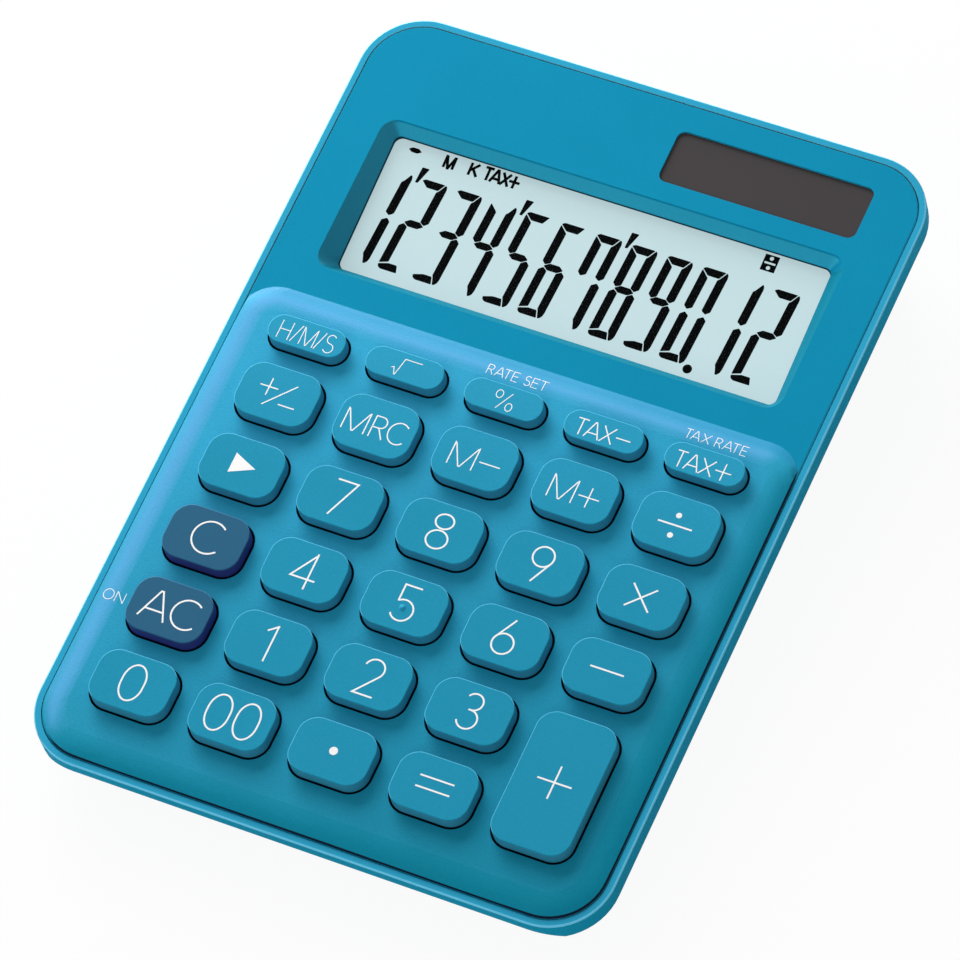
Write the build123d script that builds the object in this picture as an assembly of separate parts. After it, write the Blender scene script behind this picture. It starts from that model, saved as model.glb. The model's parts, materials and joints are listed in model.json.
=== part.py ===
"""Desk calculator: wedge case, raised keypad with sprung keys, sunken display and solar window.

Millimetres. X runs across the case, Y from the user to the display, Z up from the table.
Most pieces are drawn in the deck frame: its origin is the middle of the rim's top plane and
its Z is square to that plane, so the keys travel along it.
"""
import os
from math import atan2, cos, degrees, radians, sin

from build123d import *

# Case
case_width = 104.5
case_length = 149.5
case_height = 22.0
case_front_height = 10.23
case_corner_radius = 11.0
rim_width = 1.25
rim_edge_radius = 0.35
rim_gap = 0.15
rim_band = 3.9
front_band = 2.3
ledge_depth = 3.2
ledge_width = 1.6
base_height = 1.0
base_side_inset = 6.75
base_front_inset = 6.0
base_back_inset = 6.75
base_corner_radius = 8.0
base_edge_chamfer = 0.9
base_floor = 1.8
base_wall = 1.8
front_wall = 3.6

# Deck panel and keypad cushion
panel_thickness = 1.8
panel_edge_radius = 0.25
skirt_wall = 1.5
cushion_rise = 1.0
cushion_roll_width = 5.8
cushion_roll_height = 2.0
cushion_side_overhang = 1.5
cushion_back_overhang = 0.7
cushion_edge_step = 0.05
cushion_edge_chamfer = 0.3
cushion_corner_radius = 6.4
cushion_wall = 1.8
cushion_cavity_inset = 4.2
cushion_cavity_back_inset = 3.45

# Keys, which fill the cushion between these margins
key_side_margin = 7.23
key_front_margin = 9.4
key_back_margin = 6.3
column_space = 4.185
row_space = 4.12
small_row_space = 4.0
small_key_length = 5.4
key_corner_radius = 3.4
small_key_corner_radius = 2.6
key_top = 3.35
key_draft_inset = 0.05
key_edge_radius = 0.18
key_gap = 0.4
key_wall = 1.2
key_roof = 1.2
key_flange = 0.8
key_flange_thickness = 0.8
key_travel = 1.3
key_plunger_radius = 1.7
seat_gap = 0.05
homing_dot_radius = 0.55
homing_dot_height = 0.3
homing_dot_y = -0.75

# Domes and board
dome_top = -3.4
dome_rest = 0.8
dome_base_radius = 3.3
dome_top_radius = 2.2
dome_wall = 0.6
sheet_thickness = 0.6
sheet_margin = 1.5
board_thickness = 1.0
board_side_margin = 7.85
board_front_margin = 0.95
board_back_margin = 4.65

# Display, sunk behind sloping bezel walls
bezel_side_margin = 7.9
bezel_back_margin = 18.73
bezel_length = 30.6
bezel_front_margin = 5.45
bezel_corner_radius = 3.0
bezel_side_run = 2.35
bezel_back_run = 1.75
bezel_front_run = 2.65
display_depth = 3.4
display_tilt = 5.25
display_corner_radius = 1.3
display_land = 0.4
window_margin = 1.4
window_thickness = 1.0
pocket_clearance = 0.2
polariser_thickness = 0.2
film_margin = 0.2
glass_thickness = 0.7
reflector_thickness = 0.2
glass_ledge = 2.4
ribbon_channel = 1.9
well_wall = 4.2
well_front_wall = 1.6
well_back_wall = 2.2
holder_thickness = 1.2
holder_front_inset = 3.0
holder_screw_inset = 5.5
holder_screw_bite = 2.4
ribbon_width = 60.0
ribbon_thickness = 0.15
ribbon_overlap = 4.0
ribbon_bend = 1.5

# Solar window
solar_width = 36.1
solar_length = 10.2
solar_right_margin = 8.7
solar_back_margin = 4.93
solar_corner_radius = 1.5
solar_recess = 0.45
solar_margin = 0.7
solar_window_thickness = 0.9
solar_cell_thickness = 1.1

# Fasteners
post_radius = 2.3
post_clearance = 0.35
post_below_board = 0.5
back_post_bottom = -10.0
back_post_xs = (-22.0, 1.5)
back_post_inset = 12.4
tube_radius = 2.9
screw_radius = 1.0
pilot_clearance = 0.05
pilot_spare = 0.5
screw_hole_clearance = 0.3
screw_head_radius = 1.9
screw_head_height = 1.4
screw_head_clearance = 0.3
screw_head_round = 0.55
screw_slot_length = 2.4
screw_slot_width = 0.5
screw_slot_depth = 0.65
screw_seat = 2.2
screw_bite = 3.4
boss_radius = 2.1

# Battery bay under the display, with the cell lying flat
cell_radius = 5.8
cell_height = 3.05
cell_edge_radius = 0.4
bay_x = -20.0
bay_y_from_display = 6.1
bay_width = 26.0
bay_play = 2.2
bay_wall = 1.4
bay_roof = 1.2
bay_ledge = 1.6
cover_thickness = 1.7
cover_clearance = 0.15
cover_pad = 0.35
cover_lip = 1.6
cover_tongue = 7.0
cover_corner_radius = 1.5
cover_boss_height = 5.0
cover_screw_sink = 0.1
grip_rib_pitch = 1.5
grip_rib_width = 0.6
grip_rib_depth = 0.3
contact_thickness = 0.3
contact_width = 5.0
contact_tab = 3.0
contact_play = 0.2
lead_radius = 0.45
lead_bend = 1.2
lead_from_board_back = 6.0
lead_depth = 11.0
solder_gap = 0.02

# Feet and small board parts
foot_radius = 4.5
foot_recess = 0.6
foot_clearance = 0.1
foot_edge_radius = 0.4
foot_side_inset = 15.25
foot_front_inset = 20.75
foot_back_inset = 13.25
chip_radius = 7.0
chip_height = 1.6
small_part_size = (2.0, 1.2, 0.7)
small_part_xs = (-18.0, -13.0, 13.0, 18.0)
small_part_step = 4.0
capacitor_radius = 2.5
capacitor_length = 8.0
capacitor_edge_radius = 0.4
capacitor_side_margin = 3.0
capacitor_above_row = 9.1

# Worked-out places in the deck frame
deck_tilt = degrees(atan2(case_height - case_front_height, case_length))
deck_length = (case_length - rim_band * sin(radians(deck_tilt))) / cos(radians(deck_tilt))
deck_middle_y = -rim_band * sin(radians(deck_tilt)) / 2
deck_middle_z = case_height - deck_length / 2 * sin(radians(deck_tilt))
deck = Pos(0, deck_middle_y, deck_middle_z) * Rot(deck_tilt, 0, 0)
panel_inset = rim_width + rim_gap
panel_width = case_width - 2 * panel_inset
panel_length = deck_length - 2 * panel_inset
panel_corner_radius = case_corner_radius - panel_inset
panel_back = panel_length / 2
panel_front = -panel_back
display_zone = bezel_back_margin + bezel_length + bezel_front_margin
cushion_back = panel_back - display_zone

key_width = (panel_width - 2 * key_side_margin - 4 * column_space) / 5
keys_length = cushion_back - panel_front - key_front_margin - key_back_margin
key_length = (keys_length - small_key_length - small_row_space - 4 * row_space) / 5
column_pitch = key_width + column_space
row_pitch = key_length + row_space
small_row_y = cushion_back - key_back_margin - small_key_length / 2
first_row_y = small_row_y - small_key_length / 2 - small_row_space - key_length / 2
columns = [column_pitch * (i - 2) for i in range(5)]
rows = [first_row_y - row_pitch * i for i in range(5)]
key_underside = cushion_rise - cushion_wall

sheet_top = dome_top - key_travel - dome_rest
board_top = sheet_top - sheet_thickness
board_bottom = board_top - board_thickness
board_half_width = panel_width / 2 - board_side_margin
board_front = rows[-1] - key_length / 2 - board_front_margin
board_back = small_row_y + small_key_length / 2 + board_back_margin
lead_board_y = board_back - lead_from_board_back

bezel_width = panel_width - 2 * bezel_side_margin
bezel_back = panel_back - bezel_back_margin
bezel_y = bezel_back - bezel_length / 2
display_width = bezel_width - 2 * bezel_side_run
display_length = bezel_length - bezel_back_run - bezel_front_run
display_y = bezel_back - bezel_back_run - display_length / 2
tilted = Pos(0, display_y, -display_depth) * Rot(display_tilt, 0, 0)
display = deck * tilted
window_width = display_width + 2 * window_margin
window_length = display_length + 2 * window_margin
ledge_front = -window_length / 2 - glass_ledge
polariser_top = -window_thickness
front_glass_top = polariser_top - polariser_thickness
rear_glass_top = front_glass_top - glass_thickness
reflector_top = rear_glass_top - glass_thickness
holder_top = reflector_top - reflector_thickness
holder_half_width = window_width / 2 + pocket_clearance + well_wall
holder_back = window_length / 2 + pocket_clearance + well_back_wall
holder_front = -window_length / 2 + holder_front_inset

solar_x = panel_width / 2 - solar_right_margin - solar_width / 2
solar_y = panel_back - solar_back_margin - solar_length / 2
solar_window_width = solar_width + 2 * solar_margin
solar_window_length = solar_length + 2 * solar_margin

case_post_bottom = board_bottom - post_below_board
small_gap_y = (small_row_y - small_key_length / 2 + rows[0] + key_length / 2) / 2
inner_post_ys = (small_gap_y, (rows[2] + rows[3]) / 2)
inner_posts = [(side * 1.5 * column_pitch, y, case_post_bottom) for side in (-1, 1) for y in inner_post_ys]
back_posts = [(x, panel_back - back_post_inset, back_post_bottom) for x in back_post_xs]
case_posts = inner_posts + back_posts
board_bosses = [(side * column_pitch / 2, (rows[i] + rows[i + 1]) / 2) for side in (-1, 1) for i in (0, 3)]
pilot_radius = screw_radius + pilot_clearance
screw_hole_radius = screw_radius + screw_hole_clearance
head_hole_radius = screw_head_radius + screw_head_clearance

# Worked-out places over the table
floor_top = base_height + base_floor
bay_y = display_y + bay_y_from_display
bay_length = 2 * (cell_radius + bay_play)
cover_top = base_height + cover_thickness + cover_clearance
cell_bottom = cover_top + cover_pad
cell_top = cell_bottom + cell_height
roof_bottom = cell_top + contact_thickness + contact_play + seat_gap
bay_front = bay_y - bay_length / 2
cover_screw_seat = base_height + screw_head_height + cover_screw_sink
cover_screw_x = bay_x - bay_width / 2 - bay_wall / 2 - cover_tongue / 2
foot_x = case_width / 2 - foot_side_inset
foot_ys = (foot_front_inset - case_length / 2, case_length / 2 - foot_back_inset)
foot_places = [(side * foot_x, y) for side in (-1, 1) for y in foot_ys]
far = 2 * case_length

KEY_ROWS = (
    ("hours_minutes_seconds", "square_root", "percent", "tax_minus", "tax_plus"),
    ("change_sign", "memory_recall", "memory_minus", "memory_plus", "divide"),
    ("shift_right", "7", "8", "9", "multiply"),
    ("clear", "4", "5", "6", "minus"),
    ("all_clear", "1", "2", "3", "plus"),
    ("0", "double_zero", "decimal_point", "equals"),
)
HOMING_KEY = "5"
TALL_KEY = "plus"


def slab(width, length, radius, bottom, top, x=0.0, y=0.0):
    """Block with rounded upright corners between two heights."""
    return extrude(Pos(x, y, bottom) * RectangleRounded(width, length, radius), top - bottom)


def block(x_range, y_range, z_range):
    """Plain block between two corners."""
    low, high = zip(x_range, y_range, z_range)
    size = [b - a for a, b in zip(low, high)]
    middle = [(a + b) / 2 for a, b in zip(low, high)]
    return Pos(*middle) * Box(*size)


def rod(radius, bottom, top, x=0.0, y=0.0):
    """Upright round bar between two heights."""
    return Pos(x, y, bottom) * extrude(Circle(radius), top - bottom)


def outline(width, length, radius, height=0.0, y=0.0):
    """Rounded rectangle at a height, as one section of a loft."""
    return (Pos(0, y, height) * RectangleRounded(width, length, radius)).face()


def lead(points):
    """Round insulated lead along straight runs with a bend at each corner."""
    path = FilletPolyline(*points, radius=lead_bend)
    return sweep(Plane(path @ 0, z_dir=path % 0) * Circle(lead_radius), path=path)


def self_tapping_screw(seat, length):
    """Pan-head screw whose head sits under a seat height, with the shank pointing up."""
    bottom = seat - screw_head_height
    head = rod(screw_head_radius, bottom, seat)
    head = fillet(head.edges().sort_by(Axis.Z)[0], screw_head_round)
    half_length = screw_slot_length / 2
    half_width = screw_slot_width / 2
    depth = (bottom - 1, bottom + screw_slot_depth)
    slot = block((-half_length, half_length), (-half_width, half_width), depth)
    return head + rod(screw_radius, seat, seat + length) - slot - Rot(0, 0, 90) * slot


def key_places():
    """Each key's name, middle and top face length, row by row."""
    for row_number, names in enumerate(KEY_ROWS):
        for column, name in zip(columns, names):
            if row_number == 0:
                yield name, column, small_row_y, small_key_length
            elif name == TALL_KEY:
                yield name, column, (rows[-2] + rows[-1]) / 2, key_length + row_pitch
            else:
                yield name, column, rows[row_number - 1], key_length


def key_outline(length, grow):
    """Width, length and corner radius of a key's outline, grown from its top face."""
    radius = small_key_corner_radius if length == small_key_length else key_corner_radius
    return key_width + 2 * grow, length + 2 * grow, radius + grow


def keycap(length):
    """Hollow cap with a drafted top, a flange that stops it under the cushion, and a plunger."""
    flange_top = key_underside - seat_gap
    flange_bottom = flange_top - key_flange_thickness
    skirt = slab(*key_outline(length, key_draft_inset), flange_bottom, cushion_rise)
    sections = [outline(*key_outline(length, key_draft_inset), cushion_rise),
                outline(*key_outline(length, 0), key_top)]
    top = loft(sections, ruled=True)
    top = fillet(top.faces().sort_by(Axis.Z)[-1].edges(), key_edge_radius)
    flange = slab(*key_outline(length, key_draft_inset + key_gap + key_flange), flange_bottom, flange_top)
    hollow = slab(*key_outline(length, key_draft_inset - key_wall), flange_bottom, key_top - key_roof)
    plunger = rod(key_plunger_radius, dome_top + seat_gap, key_top - key_roof)
    return skirt + top + flange - hollow + plunger


def homing_dot():
    """Low round dot on a key's top face."""
    ball_radius = (homing_dot_radius**2 + homing_dot_height**2) / (2 * homing_dot_height)
    ball = Pos(0, homing_dot_y, key_top + homing_dot_height - ball_radius) * Sphere(ball_radius)
    post = rod(homing_dot_radius, key_top - homing_dot_height, key_top + homing_dot_height, 0, homing_dot_y)
    return ball & post


def make_keys():
    """One keycap per place, with a homing dot on the middle digit."""
    shapes = {length: keycap(length) for length in {place[3] for place in key_places()}}
    caps = {}
    for name, x, y, length in key_places():
        cap = shapes[length]
        if name == HOMING_KEY:
            cap = cap + homing_dot()
        caps["key_" + name] = deck * Pos(x, y, 0) * cap
    return caps


def cushion_section(inset, height):
    """Level cut through the full pillow, which reaches past the panel's edge and under the panel's face."""
    reach = cushion_side_overhang - inset
    front = panel_front - reach
    back = cushion_back + cushion_back_overhang - inset
    face = Pos(0, (front + back) / 2, height) * Rectangle(panel_width + 2 * reach, back - front)
    face = fillet(face.vertices().group_by(Axis.Y)[0], panel_corner_radius + reach)
    return fillet(face.vertices().group_by(Axis.Y)[-1], cushion_corner_radius + reach).face()


def cushion():
    """Pillow of the keypad: an elliptical roll, cut off upright at the panel's edge with the corner broken."""
    steps = 6
    sections = []
    for step in range(steps + 1):
        turn = radians(90 * step / steps)
        inset = cushion_roll_width * (1 - cos(turn))
        height = cushion_rise - cushion_roll_height * (1 - sin(turn))
        sections.append(cushion_section(inset, height))
    trim = slab(panel_width - 2 * cushion_edge_step, panel_length - 2 * cushion_edge_step,
                panel_corner_radius - cushion_edge_step, -panel_thickness / 2, 2 * cushion_rise)
    pillow = loft(sections) & trim
    brow = cushion_rise - cushion_edge_chamfer
    broken = [edge for edge in pillow.edges() if 0 < edge.center().Z < brow
              and edge.center().Y < cushion_back - cushion_corner_radius]
    return chamfer(broken, cushion_edge_chamfer)


def display_well():
    """Walls under the panel that hold the display cell."""
    front = ledge_front - ribbon_channel - well_front_wall
    well = block((-holder_half_width, holder_half_width), (front, holder_back), (holder_top, far))
    above = block((-far, far), (-far, far), (-panel_thickness / 2, 2 * far))
    return tilted * well - above


def display_openings():
    """Bezel slopes, window opening, cell pocket and ribbon gap."""
    window = RectangleRounded(display_width, display_length, display_corner_radius)
    window_section = (tilted * Pos(0, 0, display_land) * window).face()
    bezel_section = outline(bezel_width, bezel_length, bezel_corner_radius, 0, bezel_y)
    slopes = loft([window_section, bezel_section], ruled=True)
    land = tilted * Pos(0, 0, -window_thickness) * extrude(window, display_land + window_thickness)
    half_width = window_width / 2 + pocket_clearance
    half_length = window_length / 2 + pocket_clearance
    bottom = holder_top - holder_thickness
    pocket = block((-half_width, half_width), (-half_length, half_length), (bottom, 0))
    front = ledge_front - ribbon_channel
    ceiling = rear_glass_top + 2 * ribbon_thickness
    channel = block((-half_width, half_width), (front, 0), (bottom, ceiling))
    gap_half = ribbon_width / 2 + 1
    gap = block((-gap_half, gap_half), (front - 2 * well_front_wall, front + 1), (bottom, polariser_top))
    return [slopes, land, tilted * pocket, tilted * channel, tilted * gap]


def holder_screw_places():
    """Screw places of the display holder, in the display's own plane."""
    x = holder_half_width - well_wall / 2
    y = window_length / 2 - holder_screw_inset
    return [(side * x, end * y) for side in (-1, 1) for end in (-1, 1)]


def make_upper_case():
    """Panel and cushion in one moulding with every opening, post and boss."""
    shell = slab(panel_width, panel_length, panel_corner_radius, -ledge_depth, 0)
    shell = fillet(shell.faces().sort_by(Axis.Z)[-1].edges(), panel_edge_radius)
    shell += cushion()
    shell -= slab(panel_width - 2 * skirt_wall, panel_length - 2 * skirt_wall, panel_corner_radius - skirt_wall,
                  -ledge_depth, -panel_thickness)
    cavity_front = panel_front + cushion_cavity_inset
    cavity_back = cushion_back - cushion_cavity_back_inset
    shell -= slab(panel_width - 2 * cushion_cavity_inset, cavity_back - cavity_front,
                  panel_corner_radius - cushion_cavity_inset, -ledge_depth, key_underside,
                  0, (cavity_back + cavity_front) / 2)
    shell += display_well()
    shell -= display_openings()
    rooted = key_underside + cushion_wall / 3
    posts = [rod(post_radius, bottom, rooted, x, y) for x, y, bottom in inner_posts]
    posts += [rod(post_radius, bottom, -panel_thickness / 2, x, y) for x, y, bottom in back_posts]
    posts += [rod(boss_radius, board_top, rooted, x, y) for x, y in board_bosses]
    shell += posts
    cuts = [slab(*key_outline(length, key_draft_inset + key_gap), key_underside - 1, cushion_rise + 1, x, y)
            for _, x, y, length in key_places()]
    bite = screw_bite + pilot_spare
    cuts += [rod(pilot_radius, bottom, bottom + bite, x, y) for x, y, bottom in case_posts]
    cuts += [rod(pilot_radius, board_top, board_top + bite, x, y) for x, y in board_bosses]
    holder_bite = holder_screw_bite + pilot_spare
    cuts += [tilted * rod(pilot_radius, holder_top, holder_top + holder_bite, x, y)
             for x, y in holder_screw_places()]
    cuts.append(slab(solar_width, solar_length, solar_corner_radius, -panel_thickness, 1, solar_x, solar_y))
    cuts.append(slab(solar_window_width + 2 * pocket_clearance, solar_window_length + 2 * pocket_clearance,
                     solar_corner_radius, -panel_thickness, -solar_recess, solar_x, solar_y))
    return deck * (shell - cuts)


def base_section(inset, height):
    """Outline of the case floor, drawn in by an inset, at a height over the table."""
    width = case_width - 2 * base_side_inset - 2 * inset
    length = case_length - base_front_inset - base_back_inset - 2 * inset
    middle = (base_front_inset - base_back_inset) / 2
    return outline(width, length, base_corner_radius - inset, height, middle)


def hull():
    """Outside of the lower case: upright band, then sides drawn in to the floor."""
    band = slab(case_width, deck_length, case_corner_radius, -rim_band, 0)
    band = fillet(band.faces().sort_by(Axis.Z)[-1].edges(), rim_edge_radius)
    sections = [base_section(base_edge_chamfer, base_height), base_section(0, base_height + base_edge_chamfer),
                deck * outline(case_width, deck_length, case_corner_radius, -rim_band)]
    sides = loft(sections, ruled=True)
    corner = Pos(0, -deck_length / 2, -front_band) * Rot(45, 0, 0)
    undercut = corner * block((-far, far), (-far, 0), (-far, far))
    return deck * band + sides - deck * undercut


def cover_slab(grow, bottom, top):
    """Battery cover outline with its screw tongue, grown all round, between two heights."""
    left = bay_x - bay_width / 2 - cover_tongue - grow
    right = bay_x + bay_width / 2 + cover_lip + grow
    length = bay_length + 2 * cover_lip + 2 * grow
    return slab(right - left, length, cover_corner_radius, bottom, top, (left + right) / 2, bay_y)


def contact_ranges():
    """Box ranges of the flat contact over the cell and of the upright one beside it."""
    front = bay_front - bay_wall - contact_tab
    back = bay_y + contact_width / 2
    top = cell_top + seat_gap
    side = bay_x + cell_radius + seat_gap
    across = (bay_x - contact_width / 2, bay_x + contact_width / 2)
    flat = (across, (front, back), (top, top + contact_thickness))
    edge = cell_height / 8
    upright = ((side, side + contact_thickness), (front, back), (cell_bottom + edge, cell_top - edge))
    return flat, upright


def contact_slots():
    """Slots through the bay's front wall for the two contacts."""
    slots = []
    for x_range, (front, _), z_range in contact_ranges():
        wide = (x_range[0] - seat_gap, x_range[1] + seat_gap)
        high = (z_range[0] - seat_gap, z_range[1] + seat_gap)
        slots.append(block(wide, (front, bay_front + 1), high))
    return slots


def make_lower_case():
    """Tray with rim, ledge, screw tubes, battery bay and foot recesses."""
    outside = hull()
    recess = slab(case_width - 2 * rim_width, deck_length - 2 * rim_width, case_corner_radius - rim_width,
                  -ledge_depth, far)
    mouth_inset = rim_width + ledge_width
    mouth = deck * outline(case_width - 2 * mouth_inset, deck_length - 2 * mouth_inset,
                           case_corner_radius - mouth_inset, -ledge_depth)
    floor_front = base_front_inset + front_wall
    floor_back = base_back_inset + base_wall
    floor = outline(case_width - 2 * (base_side_inset + base_wall), case_length - floor_front - floor_back,
                    base_corner_radius - base_wall, floor_top, (floor_front - floor_back) / 2)
    tray = outside - loft([floor, mouth], ruled=True) - deck * recess
    bay = slab(bay_width + 2 * bay_wall, bay_length + 2 * bay_wall, bay_wall, base_height,
               roof_bottom + bay_roof, bay_x, bay_y)
    tray += [cover_slab(bay_wall, base_height, cover_top + bay_ledge), bay]
    tray += rod(tube_radius, base_height, cover_top + cover_boss_height, cover_screw_x, bay_y)
    tray += [(deck * rod(tube_radius, -far, bottom, x, y)) & outside for x, y, bottom in case_posts]
    cuts = [cover_slab(cover_clearance, 0, cover_top)]
    cuts.append(slab(bay_width, bay_length, bay_wall / 2, base_height, roof_bottom, bay_x, bay_y))
    cuts.append(rod(pilot_radius, base_height, cover_top + screw_bite + pilot_spare, cover_screw_x, bay_y))
    for x, y, bottom in case_posts:
        cuts.append(deck * rod(screw_hole_radius, bottom - screw_seat, bottom, x, y))
        cuts.append(deck * rod(head_hole_radius, -far, bottom - screw_seat, x, y))
    cuts += [rod(foot_radius, 0, base_height + foot_recess, x, y) for x, y in foot_places]
    return tray - cuts - contact_slots()


def make_battery_cover():
    """Cover with the pad under the cell, a screw hole and grip grooves outside."""
    cover = cover_slab(0, base_height, base_height + cover_thickness)
    cover += slab(bay_width - 4 * cover_clearance, bay_length - 4 * cover_clearance, bay_wall / 2,
                  base_height + cover_thickness / 2, cell_bottom, bay_x, bay_y)
    cover -= rod(screw_hole_radius, 0, cell_bottom, cover_screw_x, bay_y)
    cover -= rod(head_hole_radius, 0, cover_screw_seat, cover_screw_x, bay_y)
    groove = block((-grip_rib_width / 2, grip_rib_width / 2), (-cell_radius, cell_radius),
                   (0, base_height + grip_rib_depth))
    grip_x = bay_x + bay_width / 3
    return cover - [Pos(grip_x + grip_rib_pitch * i, bay_y, 0) * groove for i in range(-2, 3)]


def make_battery_parts():
    """Cell, its two contacts and leads, the cover and the cover's screw."""
    cell = rod(cell_radius, cell_bottom, cell_top, bay_x, bay_y)
    cell = fillet(cell.edges().filter_by(GeomType.CIRCLE), cell_edge_radius)
    flat, upright = contact_ranges()
    screw = self_tapping_screw(cover_screw_seat, cover_top - cover_screw_seat + screw_bite)
    parts = {
        "button_cell": cell,
        "battery_contact_minus": block(*flat),
        "battery_contact_plus": block(*upright),
        "battery_cover": make_battery_cover(),
        "battery_cover_screw": Pos(cover_screw_x, bay_y, 0) * screw,
    }
    board_end = (deck * Pos(0, lead_board_y, board_bottom - solder_gap)).position
    for name, (x_range, y_range, z_range) in (("black", flat), ("red", upright)):
        x = sum(x_range) / 2
        z = sum(z_range) / 2
        route = [(x, y_range[0], z), (x, board_end.Y, z), (x, board_end.Y, board_end.Z)]
        parts["battery_lead_" + name] = lead(route)
    return parts


def make_display_holder():
    """Plate with two light holes that clamps the display cell from behind."""
    bottom = holder_top - holder_thickness
    holder = block((-holder_half_width, holder_half_width), (holder_front, holder_back), (bottom, holder_top))
    hole_width = (window_width - 3 * well_wall) / 2
    hole_length = holder_back - holder_front - 2 * well_wall
    middle = (holder_front + holder_back) / 2
    for side in (-1, 1):
        x = side * (hole_width + well_wall) / 2
        holder -= slab(hole_width, hole_length, well_wall / 2, bottom, holder_top, x, middle)
    return holder - [rod(screw_hole_radius, bottom, holder_top, x, y) for x, y in holder_screw_places()]


def make_display_ribbon():
    """Flat lead from the rear glass's ledge to the underside of the board."""
    ledge_ys = (-window_length / 2 - 2 * ribbon_thickness, ledge_front)
    ledge = [(tilted * Pos(0, y, rear_glass_top)).position for y in ledge_ys]
    level = board_bottom - ribbon_thickness
    line = [(point.Y, point.Z) for point in ledge]
    line += [(board_back + ribbon_bend, level), (board_back - ribbon_overlap, level)]
    edge = line + [(y, z + ribbon_thickness) for y, z in reversed(line)]
    return extrude(Plane.YZ * make_face(Polyline(*edge, close=True)), ribbon_width / 2, both=True)


def make_display_parts():
    """Window, display cell, holder, its screws and the flat ribbon to the board."""
    film = (window_width - 2 * (window_margin - film_margin), window_length - 2 * (window_margin - film_margin))
    radius = display_corner_radius
    sharp = glass_thickness / 2
    rear_length = window_length + glass_ledge
    screw = self_tapping_screw(holder_top - holder_thickness, holder_thickness + holder_screw_bite)
    plates = {
        "display_window": slab(window_width, window_length, radius, polariser_top, 0),
        "display_polariser": slab(*film, sharp, front_glass_top, polariser_top),
        "display_front_glass": slab(window_width, window_length, sharp, rear_glass_top, front_glass_top),
        "display_rear_glass": slab(window_width, rear_length, sharp, reflector_top, rear_glass_top,
                                   0, -glass_ledge / 2),
        "display_reflector": slab(*film, sharp, holder_top, reflector_top),
        "display_holder": make_display_holder(),
    }
    parts = {name: display * plate for name, plate in plates.items()}
    screws = [display * Pos(x, y, 0) * screw for x, y in holder_screw_places()]
    parts["display_screws"] = Compound(children=screws)
    parts["display_ribbon"] = deck * make_display_ribbon()
    return parts


def make_solar_parts():
    """Solar window, the cell bonded behind it and its two leads."""
    window_bottom = -solar_recess - solar_window_thickness
    cell_back = window_bottom - solar_cell_thickness
    window = slab(solar_window_width, solar_window_length, solar_corner_radius - pocket_clearance,
                  window_bottom, -solar_recess, solar_x, solar_y)
    cell = slab(solar_width, solar_length, solar_corner_radius / 3, cell_back, window_bottom, solar_x, solar_y)
    parts = {"solar_window": deck * window, "solar_cell": deck * cell}
    start_y = solar_y - solar_length / 4
    for name, share in (("red", 1 / 6), ("black", 1 / 4)):
        x = solar_x - solar_width * share
        route = [(x, start_y, cell_back - solder_gap), (x, start_y, -lead_depth),
                 (x, lead_board_y, -lead_depth), (x, lead_board_y, board_bottom - solder_gap)]
        parts["solar_lead_" + name] = deck * lead(route)
    return parts


def make_dome_sheet():
    """Silicone sheet with a hollow dome under every key and holes for posts and bosses."""
    middle = (board_back + board_front) / 2
    sheet = slab(2 * (board_half_width - sheet_margin), board_back - board_front - 2 * sheet_margin,
                 2 * sheet_margin, board_top, sheet_top, 0, middle)
    rise = dome_top - sheet_top
    air_rise = dome_top - dome_wall - board_top
    dome = Pos(0, 0, sheet_top + rise / 2) * Cone(dome_base_radius, dome_top_radius, rise)
    air_radii = (dome_base_radius - dome_wall / 2, dome_top_radius - dome_wall / 2)
    air = Pos(0, 0, board_top + air_rise / 2) * Cone(*air_radii, air_rise)
    spots = [Pos(x, y, 0) for _, x, y, _ in key_places()]
    holes = [rod(post_radius + post_clearance, board_top, sheet_top, x, y) for x, y, _ in inner_posts]
    holes += [rod(boss_radius + post_clearance, board_top, sheet_top, x, y) for x, y in board_bosses]
    return sheet - holes + [spot * dome for spot in spots] - [spot * air for spot in spots]


def make_board_parts():
    """Circuit board with its screws and components, and the dome sheet on it."""
    board = slab(2 * board_half_width, board_back - board_front, sheet_margin, board_bottom, board_top,
                 0, (board_back + board_front) / 2)
    holes = [rod(post_radius + post_clearance, board_bottom, board_top, x, y) for x, y, _ in inner_posts]
    holes += [rod(screw_hole_radius, board_bottom, board_top, x, y) for x, y in board_bosses]
    screw = self_tapping_screw(board_bottom, board_thickness + screw_bite)
    chip_y = rows[2]
    chip = rod(chip_radius, board_bottom - chip_height, board_bottom, 0, chip_y)
    chip = fillet(chip.edges().sort_by(Axis.Z)[0], chip_height * 0.8)
    can = rod(capacitor_radius, -capacitor_length / 2, capacitor_length / 2)
    can = Rot(0, 90, 0) * fillet(can.edges().filter_by(GeomType.CIRCLE), capacitor_edge_radius)
    can_x = board_half_width - capacitor_side_margin - capacitor_length / 2
    can = Pos(can_x, rows[0] + capacitor_above_row, board_bottom - capacitor_radius) * can
    small_part = Pos(0, 0, board_bottom - small_part_size[2] / 2) * Box(*small_part_size)
    spots = [(x, chip_y + small_part_step * i) for x in small_part_xs for i in (-1, 0, 1)]
    return {
        "circuit_board": deck * (board - holes),
        "dome_sheet": deck * make_dome_sheet(),
        "board_screws": Compound(children=[deck * Pos(x, y, 0) * screw for x, y in board_bosses]),
        "chip_cover": deck * chip,
        "supply_capacitor": deck * can,
        "board_components": Compound(children=[deck * Pos(x, y, 0) * small_part for x, y in spots]),
    }


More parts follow.
